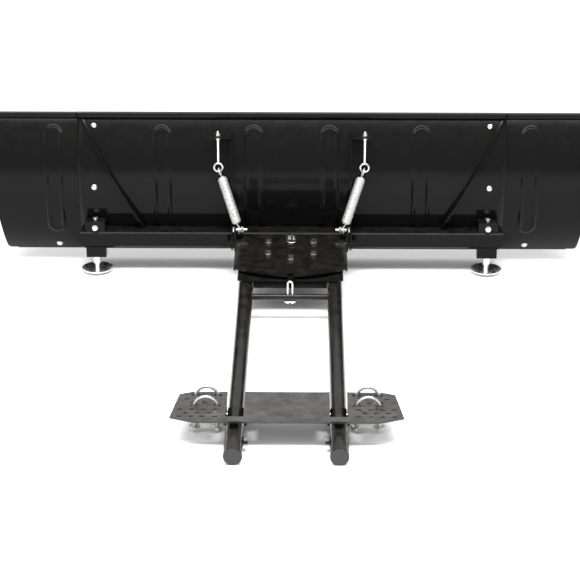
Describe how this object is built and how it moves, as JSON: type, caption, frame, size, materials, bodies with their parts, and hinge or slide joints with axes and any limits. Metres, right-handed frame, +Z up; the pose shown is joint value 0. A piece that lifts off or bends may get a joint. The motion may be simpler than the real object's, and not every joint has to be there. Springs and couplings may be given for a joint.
{
  "type": "atv plow blade",
  "caption": "Small-vehicle snow plow: ribbed curved blade with flared end panels and skid feet on a swivel, push tubes and a slotted clamp-on mount plate.",
  "frame": {"origin": "floor point under the middle of the plow's bounding box", "axes": "+Z up, +Y the way the plow is pushed, +X to the plow's right seen from behind"},
  "size_m": [1.52, 1.1422, 0.402],
  "materials": {
    "blade_black": "gloss black paint",
    "mount_black": "gloss black powder coat",
    "tube_black": "gloss black powder coat",
    "wear_steel": "black painted flat bar",
    "zinc": "bright zinc plate",
    "galvanised": "zinc plated pressed steel",
    "spring_steel": "bright zinc plated wire",
    "cap_plastic": "matt black"
  },
  "bodies": {
    "mount": {"mount_plate": "mount_black", "hanger_ears": "blade_black", "hanger_pins": "zinc", "hanger_clips": "zinc", "u_bolts": "zinc", "u_bolt_nuts": "zinc"},
    "push_frame": {"push_tube_left": "tube_black", "push_tube_right": "tube_black", "rear_sleeve_left": "tube_black", "rear_sleeve_right": "tube_black", "end_caps": "cap_plastic", "sleeve_screws": "tube_black", "cross_plate": "blade_black", "cross_plate_lip": "blade_black", "thrust_collar": "blade_black", "index_pad": "blade_black", "cross_bar": "tube_black", "lift_loop": "zinc", "lift_loop_saddle": "zinc", "lift_loop_nuts": "zinc"},
    "swivel": {"swivel_plate": "blade_black", "swivel_rails": "blade_black", "swivel_doubler": "blade_black", "swivel_bolts": "zinc", "swivel_ear_left": "blade_black", "swivel_ear_right": "blade_black", "spring_bolts": "zinc", "swivel_nuts": "zinc", "trip_bolts": "blade_black"},
    "king_pin": {"king_pin": "zinc"},
    "king_pin_ring": {"king_pin_ring": "zinc"},
    "blade": {"moldboard": "blade_black", "bottom_channel": "blade_black", "blade_bolts": "zinc", "eye_nuts": "zinc", "foot_clamp_bolts": "zinc", "wing_left": "blade_black", "wear_bar_left": "wear_steel", "gusset_left": "blade_black", "rib_plate_left": "blade_black", "foot_socket_left": "blade_black", "eye_bolt_left": "zinc", "wing_right": "blade_black", "wear_bar_right": "wear_steel", "gusset_right": "blade_black", "rib_plate_right": "blade_black", "foot_socket_right": "blade_black", "eye_bolt_right": "zinc"},
    "foot_left": {"skid_foot_left": "galvanised", "foot_washers_left": "galvanised", "foot_clip_left": "blade_black"},
    "spring_left": {"spring_coil_left": "spring_steel", "spring_loop_left": "spring_steel"},
    "hook_left": {"spring_hook_left": "spring_steel"},
    "foot_right": {"skid_foot_right": "galvanised", "foot_washers_right": "galvanised", "foot_clip_right": "blade_black"},
    "spring_right": {"spring_coil_right": "spring_steel", "spring_loop_right": "spring_steel"},
    "hook_right": {"spring_hook_right": "spring_steel"}
  },
  "joints": [
    {"name": "lift", "type": "hinge", "parent": "mount", "child": "push_frame", "pos_m": [0, -0.4038, 0.02876], "axis": [1, 0, 0], "range_deg": [0, 30]},
    {"name": "angle", "type": "hinge", "parent": "push_frame", "child": "swivel", "pos_m": [0, 0.41817, 0.11194], "axis": [0, -0.0597, 0.9982], "range_deg": [-25, 25]},
    {"name": "trip", "type": "hinge", "parent": "swivel", "child": "blade", "pos_m": [0, 0.4262, 0.092], "axis": [-1, 0, 0], "range_deg": [0, 30], "stiffness_Nm_per_rad": 40, "springref_deg": -40.11},
    {"name": "king_pin_pull", "type": "slide", "parent": "swivel", "child": "king_pin", "axis": [0, -0.0597, 0.9982], "range_m": [0, 0.045]},
    {"name": "king_pin_ring_swing", "type": "hinge", "parent": "king_pin", "child": "king_pin_ring", "pos_m": [0.0015, 0.39783, 0.11704], "axis": [-1, 0, 0], "range_deg": [0, 100]},
    {"name": "spring_turn_left", "type": "hinge", "parent": "swivel", "child": "spring_left", "pos_m": [-0.129, 0.4262, 0.13], "axis": [-0.9472, -0.1445, -0.2864], "range_deg": [0, 34.26]},
    {"name": "spring_stretch_left", "type": "slide", "parent": "spring_left", "child": "hook_left", "axis": [-0.3143, 0.2404, 0.9184], "range_m": [0, 0.01032], "deforming": ["spring_coil_left"]},
    {"name": "foot_slide_left", "type": "slide", "parent": "blade", "child": "foot_left", "axis": [0, 0, 1], "range_m": [-0.0025, 0]},
    {"name": "spring_turn_right", "type": "hinge", "parent": "swivel", "child": "spring_right", "pos_m": [0.129, 0.4262, 0.13], "axis": [-0.9472, 0.1445, 0.2864], "range_deg": [0, 34.26]},
    {"name": "spring_stretch_right", "type": "slide", "parent": "spring_right", "child": "hook_right", "axis": [0.3143, 0.2404, 0.9184], "range_m": [0, 0.01032], "deforming": ["spring_coil_right"]},
    {"name": "foot_slide_right", "type": "slide", "parent": "blade", "child": "foot_right", "axis": [0, 0, 1], "range_m": [-0.0025, 0]}
  ],
  "couplings": [
    {"joint": "spring_turn_left", "follows": "trip", "ratio": 1.1402},
    {"joint": "spring_stretch_left", "follows": "trip", "m_per_rad": 0.019327},
    {"joint": "spring_turn_right", "follows": "trip", "ratio": 1.1402},
    {"joint": "spring_stretch_right", "follows": "trip", "m_per_rad": 0.019327}
  ]
}
